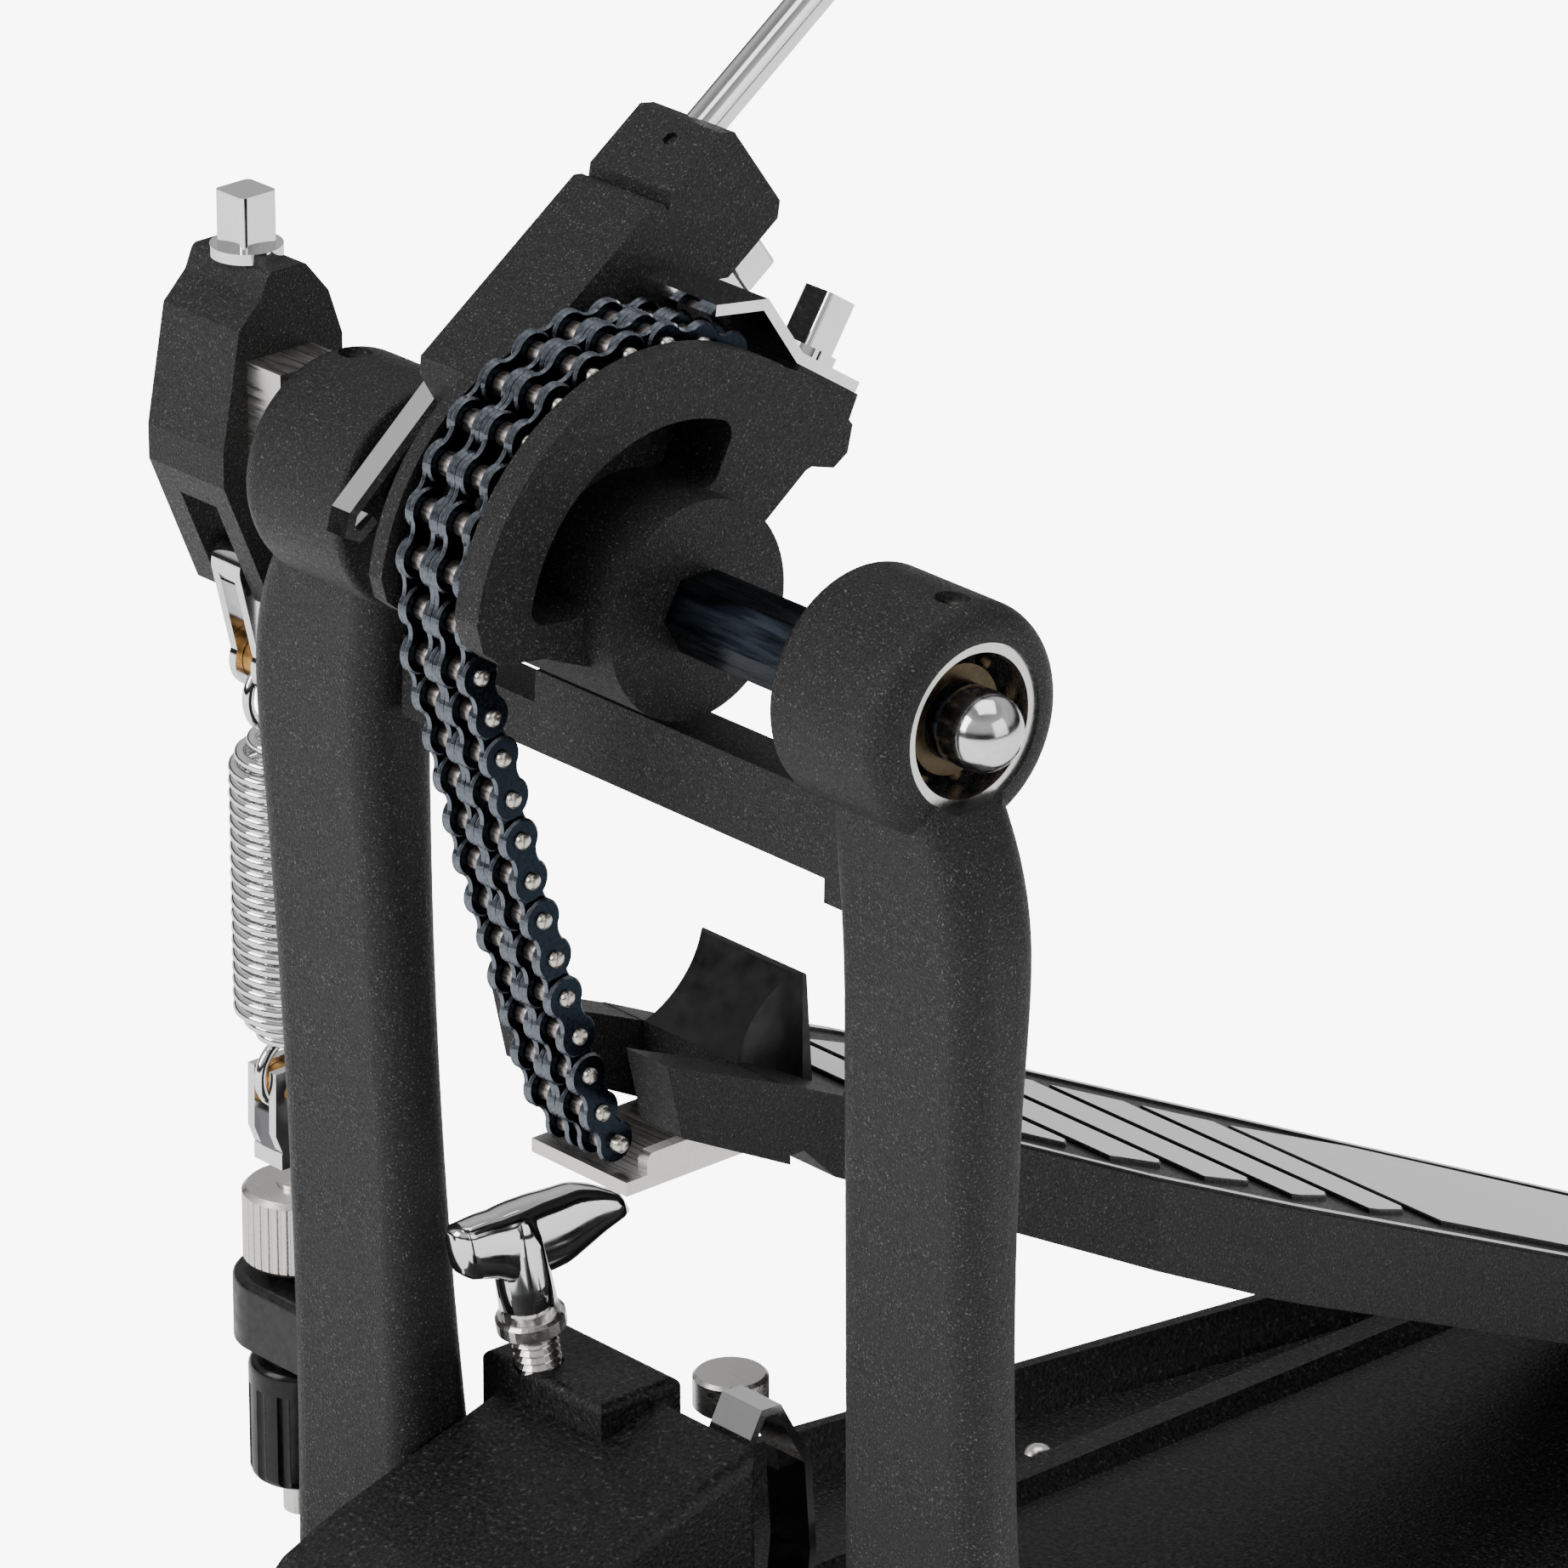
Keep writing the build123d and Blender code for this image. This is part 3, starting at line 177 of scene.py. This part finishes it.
def felt_material():
    """Off-white wool with cloudy tone and short fibres."""
    m, nt, s, where = tree("wool_felt")
    fibre = noise(nt, where, 1400.0, 5.0, (1, 1, 0.3))
    cloud = noise(nt, where, 120.0, 3.0)
    wool = ramp(nt, cloud, [(0.3, (0.66, 0.65, 0.61)), (0.7, (0.80, 0.79, 0.76))])
    nt.links.new(wool, s.inputs["Base Color"])
    s.inputs["Roughness"].default_value = 0.95
    s.inputs["Sheen Weight"].default_value = 0.5
    bump(nt, s, fibre, 0.8, 0.0006)
    return m


FELT = felt_material()

# Material of each CAD node; the chain's nodes go by their names, below
LOOKS = {
    "near_post": CASTING, "far_post": CASTING, "crossbar": CASTING, "cam": CASTING, "beater_hub": CASTING,
    "beater_clamp": CASTING, "rocker": CASTING, "base_casting": BASE, "clamp_lever": BASE,
    "base_plate": BASE, "heel_block": CASTING, "footboard": BOARD, "toe_stop": STOP, "rubber_pads": RUBBER,
    "near_bearing_outer_ring": RING, "far_bearing_outer_ring": RING, "near_bearing_inner_ring": BRONZE_CAGE,
    "far_bearing_inner_ring": BRONZE_CAGE, "near_bearing_balls": BRONZE_CAGE,
    "far_bearing_balls": BRONZE_CAGE,
    "hex_axle": BLUED, "axle_end_ball": POLISHED, "housing_screws": NICKEL, "chain_clip": CHROME,
    "clip_bolt": CHROME, "stop_plate": CHROME, "beater_clamp_bolt": CHROME, "beater_rod": CHROME,
    "beater_core": SATIN, "rocker_core": BRUSHED, "rocker_bolt": CHROME, "rocker_tip_pin": NICKEL,
    "spring_stirrup": CHROME, "upper_bush": BRONZE, "lower_bush": BRONZE, "lower_clevis": CHROME,
    "tension_rod": NICKEL, "knurled_nut": BRUSHED, "tension_arm": SATIN, "lock_knob": GLOSS,
    "chain_bracket": BRUSHED, "bracket_screw": NICKEL, "plate_rivets": NICKEL, "clamp_pivot_pin": NICKEL,
    "wing_bolt": CHROME, "clamp_stop_screw": BRUSHED, "clamp_return_spring": CHROME,
    "heel_hinge_pin": NICKEL, "leading_chain_pin": PINS, "tension_spring": CHROME, "beater_felt": FELT,
}
for name, node in nodes.items():
    look = LOOKS.get(name)
    if look is None:
        look = PLATE if "plates" in name or "link" in name else ROLLER if "rollers" in name else PINS
    node.data.materials.clear()
    node.data.materials.append(look)
    for polygon in node.data.polygons:
        polygon.material_index = 0


# ---------------------------------------------------------------- mesh help
def piece(name, bm, looks, body, smooth=False):
    """Object from a bmesh, riding on a body and given a material slot."""
    mesh = bpy.data.meshes.new(name)
    bm.normal_update()
    bm.to_mesh(mesh)
    bm.free()
    for look in looks:
        mesh.materials.append(look)
    for polygon in mesh.polygons:
        polygon.use_smooth = smooth
    obj = bpy.data.objects.new(name, mesh)
    bpy.context.scene.collection.objects.link(obj)
    if body:
        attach(obj, body)
    return obj


def loops(bm, rings, looks, caps=(0, 0)):
    """Skin between closed rings of points; looks gives each band's material."""
    made = [[bm.verts.new(p) for p in ring] for ring in rings]
    n = len(made[0])
    for k, (a, b) in enumerate(zip(made, made[1:])):
        for i in range(n):
            face = bm.faces.new((a[i], a[(i + 1) % n], b[(i + 1) % n], b[i]))
            face.material_index = looks[k]
    if caps[0] is not None:
        bm.faces.new(made[0][::-1]).material_index = caps[0]
    if caps[1] is not None:
        bm.faces.new(made[-1]).material_index = caps[1]


def tube(bm, path, radius, sides=10, look=0, closed=False):
    """Round wire along a path of points."""
    rings, side = [], None
    count = len(path)
    for i, p in enumerate(path):
        before = path[i - 1] if i or closed else path[0]
        after = path[(i + 1) % count] if i < count - 1 or closed else path[-1]
        along = (after - before).normalized()
        if side is None:
            side = along.orthogonal().normalized()
        side = (side - along * side.dot(along)).normalized()
        other = along.cross(side)
        rings.append([p + (side * math.cos(t) + other * math.sin(t)) * radius
                      for t in (2 * math.pi * k / sides for k in range(sides))])
    if closed:
        rings.append(rings[0])
        loops(bm, rings, [look] * len(rings), (None, None))
        bmesh.ops.remove_doubles(bm, verts=bm.verts, dist=1e-7)
    else:
        loops(bm, rings, [look] * len(rings), (look, look))


def turned(bm, origin, axis, profile, sides=32, looks=None):
    """Solid of revolution: profile is (distance along the axis, radius)."""
    axis = Vector(axis).normalized()
    side = axis.orthogonal().normalized()
    other = axis.cross(side)
    rings = [[Vector(origin) + axis * d + (side * math.cos(t) + other * math.sin(t)) * r
              for t in (2 * math.pi * k / sides for k in range(sides))] for d, r in profile]
    loops(bm, rings, looks or [0] * len(rings), (0, 0))


def in_mm(profile):
    """The same profile in metres."""
    return [(d * MM, r * MM) for d, r in profile]


def at(x, y, z):
    """A point in metres from millimetres counted from the axle."""
    return Vector((x * MM, y * MM, AXLE + z * MM))


# ---------------------------------------------------------------- chain
def pin_middles():
    """Middle of every chain pin, found from the near ends that stand out of the plates."""
    groups = []
    for node in ("wrapped_chain_pins", "leading_chain_pin", "chain_link_1", "chain_link_2", "chain_link_3",
                 "free_chain_pins"):
        for v in nodes[node].data.vertices:
            if v.co.x > 0.3 * MM:
                near = next((g for g in groups
                             if math.hypot(g[0][0] - v.co.y, g[0][1] - v.co.z) < 2.6 * MM), None)
                if near is None:
                    groups.append([(v.co.y, v.co.z)])
                else:
                    near.append((v.co.y, v.co.z))
    found = []
    for g in groups:
        ys, zs = [p[0] for p in g], [p[1] for p in g]
        found.append(Vector((CHAIN_X * MM, (max(ys) + min(ys)) / 2, (max(zs) + min(zs)) / 2)))
    return found


# The pins in order, from the clipped end over the cam and down to the footboard
pins = pin_middles()
top = max(pins, key=lambda p: p.z * 0.4 + p.y if p.z > AXLE else -9)
chain = [top]
left = [p for p in pins if p is not top]
while left:
    nearest = min(left, key=lambda p: (p - chain[-1]).length)
    chain.append(nearest)
    left.remove(nearest)
MIDDLE = chain[0].x


def chain_body(link):
    """Body of the link between one pin and the next."""
    if link < LAST_WRAPPED:
        return "axle"
    return {6: "chain_link_1", 7: "chain_link_2", 8: "chain_link_3"}.get(link, "chain_run")


def pin_body(pin):
    """Body that carries a pin."""
    return "axle" if pin <= LAST_WRAPPED else "chain_link_2" if pin <= 8 else "chain_run"


def link_outline(a, b, inset):
    """Figure-eight outline of a plate, from pin a to pin b, moved in by inset."""
    end, waist = PLATE_END_R * MM - inset, PLATE_WAIST * MM - inset
    along = b - a
    half = along.length / 2
    turn = math.atan2(along.z, along.y)
    middle = (a + b) / 2
    flat = []
    for k in range(-11, 12):
        t = math.radians(k * 12.0)
        flat.append((half + end * math.cos(t), end * math.sin(t)))
    low = flat[-1]
    for k in range(1, 6):
        u = 1 - 2 * k / 6
        x = u * low[0]
        flat.append((x, waist + (low[1] - waist) * u * u))
    for k in range(-11, 12):
        t = math.radians(180 + k * 12.0)
        flat.append((-half + end * math.cos(t), end * math.sin(t)))
    low = (-low[0], -low[1])
    for k in range(1, 6):
        u = 1 - 2 * k / 6
        flat.append((low[0] * u, -waist + (low[1] + waist) * u * u))
    c, s = math.cos(turn), math.sin(turn)
    return [(middle.y + x * c - z * s, middle.z + x * s + z * c) for x, z in flat]


def chain_plate(bm, a, b, x0, x1):
    """Plate with chamfered edges; its rim and chamfers take a lighter material, a painted edge highlight.
    """
    cut = 0.3 * MM
    full, small = link_outline(a, b, 0.0), link_outline(a, b, cut)
    rings = [[Vector((x, y, z)) for y, z in ring] for x, ring in
             ((x0, small), (x0 + cut, full), (x1 - cut, full), (x1, small))]
    # The rim and chamfer bands take slot 1, the painted edge highlight; the flat faces take slot 0
    loops(bm, rings, [1, 1, 1], (0, 0))


def chain_meshes():
    """Plates, rollers and pins, each as one mesh per body."""
    plates, rollers, rods = {}, {}, {}
    for i in range(len(chain) - 1):
        a, b = chain[i], chain[i + 1]
        bm = plates.setdefault(chain_body(i), bmesh.new())
        for strand in (-STRAND * MM, STRAND * MM):
            for side in (-1, 1):
                near, far = INNER_PLATE if i % 2 == 0 else OUTER_PLATE
                xs = sorted((MIDDLE + strand + side * near * MM, MIDDLE + strand + side * far * MM))
                chain_plate(bm, a, b, *xs)
            if i % 2 == 0:
                roll = rollers.setdefault(chain_body(i), bmesh.new())
                for p in (a, b):
                    start = Vector((MIDDLE + strand - 1.55 * MM, p.y, p.z))
                    turned(roll, start, (1, 0, 0), in_mm([(0, 1.4), (0.2, ROLLER_R), (2.9, ROLLER_R),
                                                          (3.1, 1.4)]), 20)
    for i, p in enumerate(chain):
        bm = rods.setdefault(pin_body(i), bmesh.new())
        start = Vector((MIDDLE - PIN_HALF * MM, p.y, p.z))
        turned(bm, start, (1, 0, 0), in_mm([(0, 0.62), (0.22, 0.98), (0.42, PIN_R), (13.98, PIN_R),
                                            (14.18, 0.98), (14.4, 0.62)]), 20)
    return plates, rollers, rods


# CAD nodes that the chain meshes of each body stand for
STANDS = {
    "axle": ("wrapped_chain_plates", "wrapped_chain_rollers", "wrapped_chain_pins", "leading_chain_pin"),
    "chain_link_1": ("chain_link_1",), "chain_link_2": ("chain_link_2",), "chain_link_3": ("chain_link_3",),
    "chain_run": ("free_chain_plates", "free_chain_rollers", "free_chain_pins"),
}
plates, rollers, rods = chain_meshes()
for body, bm in plates.items():
    obj = piece("chain_plates_" + body, bm, [PLATE, PLATE_EDGE_HIGHLIGHT], body)
    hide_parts(*STANDS[body])
for body, bm in rollers.items():
    piece("chain_rollers_" + body, bm, [ROLLER], body, True)
for body, bm in rods.items():
    piece("chain_pins_" + body, bm, [PINS], body, True)


# ---------------------------------------------------------------- tension spring
def end_ring(bm, y, z, first):
    """Closed ring of wire round a bush, starting at an angle in degrees."""
    ring = []
    for k in range(40):
        t = math.radians(first + k * 9.0)
        ring.append(at(SPRING_X, y + EYE_R * math.cos(t), z + EYE_R * math.sin(t)))
    tube(bm, ring, WIRE_R * MM, 8, closed=True)


def coil_path():
    """Middle of the wire along the winding, which narrows at both ends."""
    path = []
    steps = int(COILS * 28)
    for k in range(steps + 1):
        u = k / steps
        t = 2 * math.pi * COILS * u
        end = min(1.0, min(u, 1 - u) / COIL_TAPER)
        reach = SPRING_R * (0.52 + 0.48 * end * end * (3 - 2 * end))
        path.append(at(SPRING_X + reach * math.cos(t), SPRING_Y + reach * math.sin(t),
                       COIL_TOP_Z - COIL_LENGTH * u))
    return path


bm = bmesh.new()
tube(bm, coil_path(), WIRE_R * MM, 8)
end_ring(bm, 3.4, -39.8, -90.0)
end_ring(bm, 4.2, -96.0, 90.0)
spring = piece("spring_coil", bm, [CHROME], None, True)
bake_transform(spring)
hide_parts("tension_spring")

# ---------------------------------------------------------------- wing bolt
WING = at(-37.6, 13.6, -127.5)
RISE = Vector((0, -0.19, 0.982)).normalized()
SPAN = Vector((0, 0.982, 0.19)).normalized()
ACROSS = Vector((1, 0, 0))
bm = bmesh.new()
stem = [(6.9, 3.6), (7.2, 4.1), (12.5, 3.9), (18.0, 3.8), (22.5, 3.4), (24.2, 1.6)]
turned(bm, WING, RISE, in_mm(stem), 28)
# Along the wings, then their lower and upper edge above the foot of the stem, in millimetres
SHAPE = [(-10.5, 18.3, 26.2), (-5.0, 15.6, 25.4), (-3.0, 13.6, 24.9), (0.0, 13.0, 24.5), (4.0, 12.0, 23.8),
         (7.0, 11.6, 23.0), (10.8, 12.2, 22.1), (14.0, 12.8, 20.2), (17.7, 13.2, 17.2), (18.7, 13.4, 14.6)]


def wing_edges(y):
    """Lower and upper edge at a place along the wings."""
    for (y0, l0, h0), (y1, l1, h1) in zip(SHAPE, SHAPE[1:]):
        if y <= y1 + 1e-6:
            part = (y - y0) / (y1 - y0)
            return l0 + (l1 - l0) * part, h0 + (h1 - h0) * part
    return SHAPE[-1][1:]


rings = []
far_tip, near_tip = SHAPE[0][0], SHAPE[-1][0]
for k in range(25):
    y = far_tip + (near_tip - far_tip) * k / 24
    out = abs(y) / 19.0
    low, high = wing_edges(y)
    thick = 3.3 - 1.5 * min(1.0, out)
    middle, tall = (low + high) / 2, (high - low) / 2
    ring = []
    for q in range(20):
        t = 2 * math.pi * q / 20
        c, sn = math.cos(t), math.sin(t)
        a = math.copysign(abs(c) ** 0.6, c) * thick * (0.6 if k in (0, 24) else 1.0)
        b = math.copysign(abs(sn) ** 0.6, sn) * tall * (0.8 if k in (0, 24) else 1.0)
        ring.append(WING + SPAN * y * MM + RISE * (middle + b) * MM + ACROSS * a * MM)
    rings.append(ring)
loops(bm, rings, [0] * len(rings), (0, 0))
wing = piece("wing_bolt_head", bm, [CHROME], "wing", True)
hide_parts("wing_bolt")
bm = bmesh.new()
turned(bm, WING, RISE, in_mm([(4.6, 4.0), (5.0, 4.9), (6.8, 4.9), (7.2, 4.4)]), 32)
thread = []
for k in range(27):
    thread += [(-27.0 + 1.2 * k, 3.3), (-26.4 + 1.2 * k, 2.75)]
turned(bm, WING, RISE, in_mm(thread), 28)
piece("wing_bolt_thread", bm, [NICKEL], "wing")

# ---------------------------------------------------------------- footboard tread
# Along the board, and its half width there
HALF_WIDTHS = [(14.0, 17.5), (26.0, 17.5), (45.0, 28.5), (68.0, 33.5), (95.0, 34.0), (120.0, 32.0),
               (174.0, 28.0), (214.0, 26.0)]
BAR_EDGES = [31.8, 48.6, 65.2, 82.0, 98.8, 115.2, 131.6]
RIM_BREAKS = [27.0, 45.0, 56.0, 68.0, 95.0, 120.0, 174.0, 212.0]


def board_z(y):
    """Height of the board's top plane."""
    return BOARD_TOP_Z - BOARD_SLOPE * (y - BOARD_TOP_Y)


def width_at(y):
    """Half width of the board."""
    for (y0, w0), (y1, w1) in zip(HALF_WIDTHS, HALF_WIDTHS[1:]):
        if y <= y1:
            return w0 + (w1 - w0) * (y - y0) / (y1 - y0)
    return HALF_WIDTHS[-1][1]


def raised(bm, outline, height=0.8, cut=0.25):
    """Flat land standing on the board's top plane, with a small chamfer."""
    cx = sum(p[0] for p in outline) / len(outline)
    cy = sum(p[1] for p in outline) / len(outline)

    def ring(h, inset):
        made = []
        for x, y in outline:
            away = Vector((x - cx, y - cy)).normalized() * inset
            made.append(at(x - away.x, y - away.y, board_z(y - away.y) + h))
        return made
    loops(bm, [ring(0.0, 0.0), ring(height - cut, 0.0), ring(height, cut)], [1, 1], (None, 0))


bm = bmesh.new()
for y0, y1 in zip(BAR_EDGES, BAR_EDGES[1:]):
    far0, far1 = BOARD_X - width_at(y0) + 11.5, BOARD_X - width_at(y1) + 11.0
    near0, near1 = BOARD_X + width_at(y0) - 7.5, BOARD_X + width_at(y1) - 10.5
    raised(bm, [(far0, y0 + 1.5), (near0, y0 + 1.5), (near0 - 0.6, y0 + 4.0), (near1, y1 - 4.0),
                (near1 - 2.5, y1 - 1.5), (far1, y1 - 1.5)])
raised(bm, [(BOARD_X - width_at(133) + 11.5, 132.8), (BOARD_X + width_at(133) - 8.0, 132.8),
            (BOARD_X + width_at(206) - 6.5, 206.0), (BOARD_X - width_at(206) + 6.5, 206.0),
            (BOARD_X - width_at(160) + 6.0, 160.0)])
piece("tread_bars", bm, [ALUMINIUM, BOARD], "board")
bm = bmesh.new()
for sign in (-1, 1):
    for y0, y1 in zip(RIM_BREAKS, RIM_BREAKS[1:]):
        w0, w1 = width_at(y0), width_at(y1)
        quad = [(BOARD_X + sign * (w0 - 0.5), y0), (BOARD_X + sign * (w1 - 0.5), y1),
                (BOARD_X + sign * (w1 - 2.3), y1), (BOARD_X + sign * (w0 - 2.3), y0)]
        raised(bm, quad if sign > 0 else quad[::-1], 0.5, 0.1)
piece("tread_rims", bm, [ALUMINIUM, BOARD], "board")

# ---------------------------------------------------------------- beater felt
lean = math.radians(BEATER_LEAN)
along = Vector((0, math.cos(lean), math.sin(lean)))
square = Vector((0, -math.sin(lean), math.cos(lean)))
centre = Vector((BEATER_X * MM, 0, AXLE)) + along * HEAD_U * MM
bm = bmesh.new()
profile = [(8.9, 0.5), (8.9, 14.0), (9.0, 18.4), (9.9, 20.6), (11.8, 21.6), (14.0, 21.9), (38.0, 21.9),
           (40.0, 21.5), (41.8, 20.4), (42.6, 18.2), (42.7, 14.0), (42.7, 0.5)]
turned(bm, centre, square, in_mm(profile), 96)
bmesh.ops.subdivide_edges(bm, edges=[e for e in bm.edges if e.calc_length() > 0.004], cuts=2)
for v in bm.verts:
    fuzz = math.sin(v.co.x * 2100 + v.co.z * 900) * math.sin(v.co.y * 1700 + v.co.z * 1300)
    v.co += (centre + square * HEAD_N * MM - v.co).normalized() * (0.32 * MM + 0.1 * MM * fuzz)
felt = piece("beater_head_felt", bm, [FELT], "beater", True)
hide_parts("beater_felt")

# ---------------------------------------------------------------- stage
bpy.ops.mesh.primitive_plane_add(size=6.0, location=(0, 0, -0.0005))
floor = bpy.context.object
floor.name = "floor"
m, nt, s, where = tree("paper_floor")
nt.links.new(ramp(nt, noise(nt, where, 3.0), [(0.3, 0.90), (0.7, 0.92)]), s.inputs["Base Color"])
s.inputs["Roughness"].default_value = 0.9
s.inputs["Emission Color"].default_value = (1, 1, 1, 1)
lit = nt.nodes.new("ShaderNodeMath")
lit.operation = "MULTIPLY_ADD"
lit.inputs[1].default_value = 7.0
lit.inputs[2].default_value = 0.5
nt.links.new(nt.nodes.new("ShaderNodeLightPath").outputs["Is Camera Ray"], lit.inputs[0])
nt.links.new(lit.outputs["Value"], s.inputs["Emission Strength"])
floor.data.materials.append(m)


def lamp(name, place, target, size, power):
    """Rectangular lamp aimed at a target."""
    data = bpy.data.lights.new(name, "AREA")
    data.shape = "RECTANGLE"
    data.size, data.size_y = size
    data.energy = power
    obj = bpy.data.objects.new(name, data)
    bpy.context.scene.collection.objects.link(obj)
    obj.location = place
    obj.rotation_euler = (Vector(target) - Vector(place)).to_track_quat("-Z", "Y").to_euler()


lamp("key", (-0.5, -1.5, 1.1), (0, 0, 0.18), (1.0, 1.2), 26)
lamp("fill", (1.6, 0.3, 0.8), (0, 0, 0.18), (1.2, 1.2), 7)
lamp("top", (0.1, 0.2, 1.9), (0, 0, 0.18), (1.4, 1.4), 16)

# Soft studio surround: dark up to a little above the horizon, bright higher, dimmer overhead
world = bpy.data.worlds.new("studio")
bpy.context.scene.world = world
world.use_nodes = True
back = next(n for n in world.node_tree.nodes if n.type == "BACKGROUND")
nt = world.node_tree
sky = nt.nodes.new("ShaderNodeTexCoord").outputs["Generated"]
split = nt.nodes.new("ShaderNodeSeparateXYZ")
nt.links.new(sky, split.inputs["Vector"])
lift = nt.nodes.new("ShaderNodeMath")
lift.operation = "MULTIPLY_ADD"
lift.inputs[1].default_value = 0.5
lift.inputs[2].default_value = 0.5
nt.links.new(split.outputs["Z"], lift.inputs[0])
glow = ramp(nt, lift.outputs["Value"], [(0.5, 0.02), (0.58, 0.05), (0.66, 0.62), (0.82, 0.75), (0.98, 0.3)])
nt.links.new(glow, back.inputs["Color"])
back.inputs["Strength"].default_value = 0.8

CAMERA_PLACE = (0.982693, -0.859638, 0.712660)
CAMERA_LENS = 252.28        # millimetres, on a sensor 36 wide
az, el = math.radians(48.014), math.radians(23.038)     # the camera's turn and tilt
right = Vector((math.cos(az), math.sin(az), 0))
away = Vector((math.sin(az) * math.cos(el), -math.cos(az) * math.cos(el), math.sin(el)))
up = away.cross(right)
data = bpy.data.cameras.new("camera")
data.lens = CAMERA_LENS
data.sensor_width = 36.0
data.clip_end = 20.0
camera = bpy.data.objects.new("camera", data)
bpy.context.scene.collection.objects.link(camera)
camera.matrix_world = Matrix.Translation(CAMERA_PLACE) @ Matrix(
    (right, up, away)).transposed().to_4x4()
bpy.context.scene.camera = camera
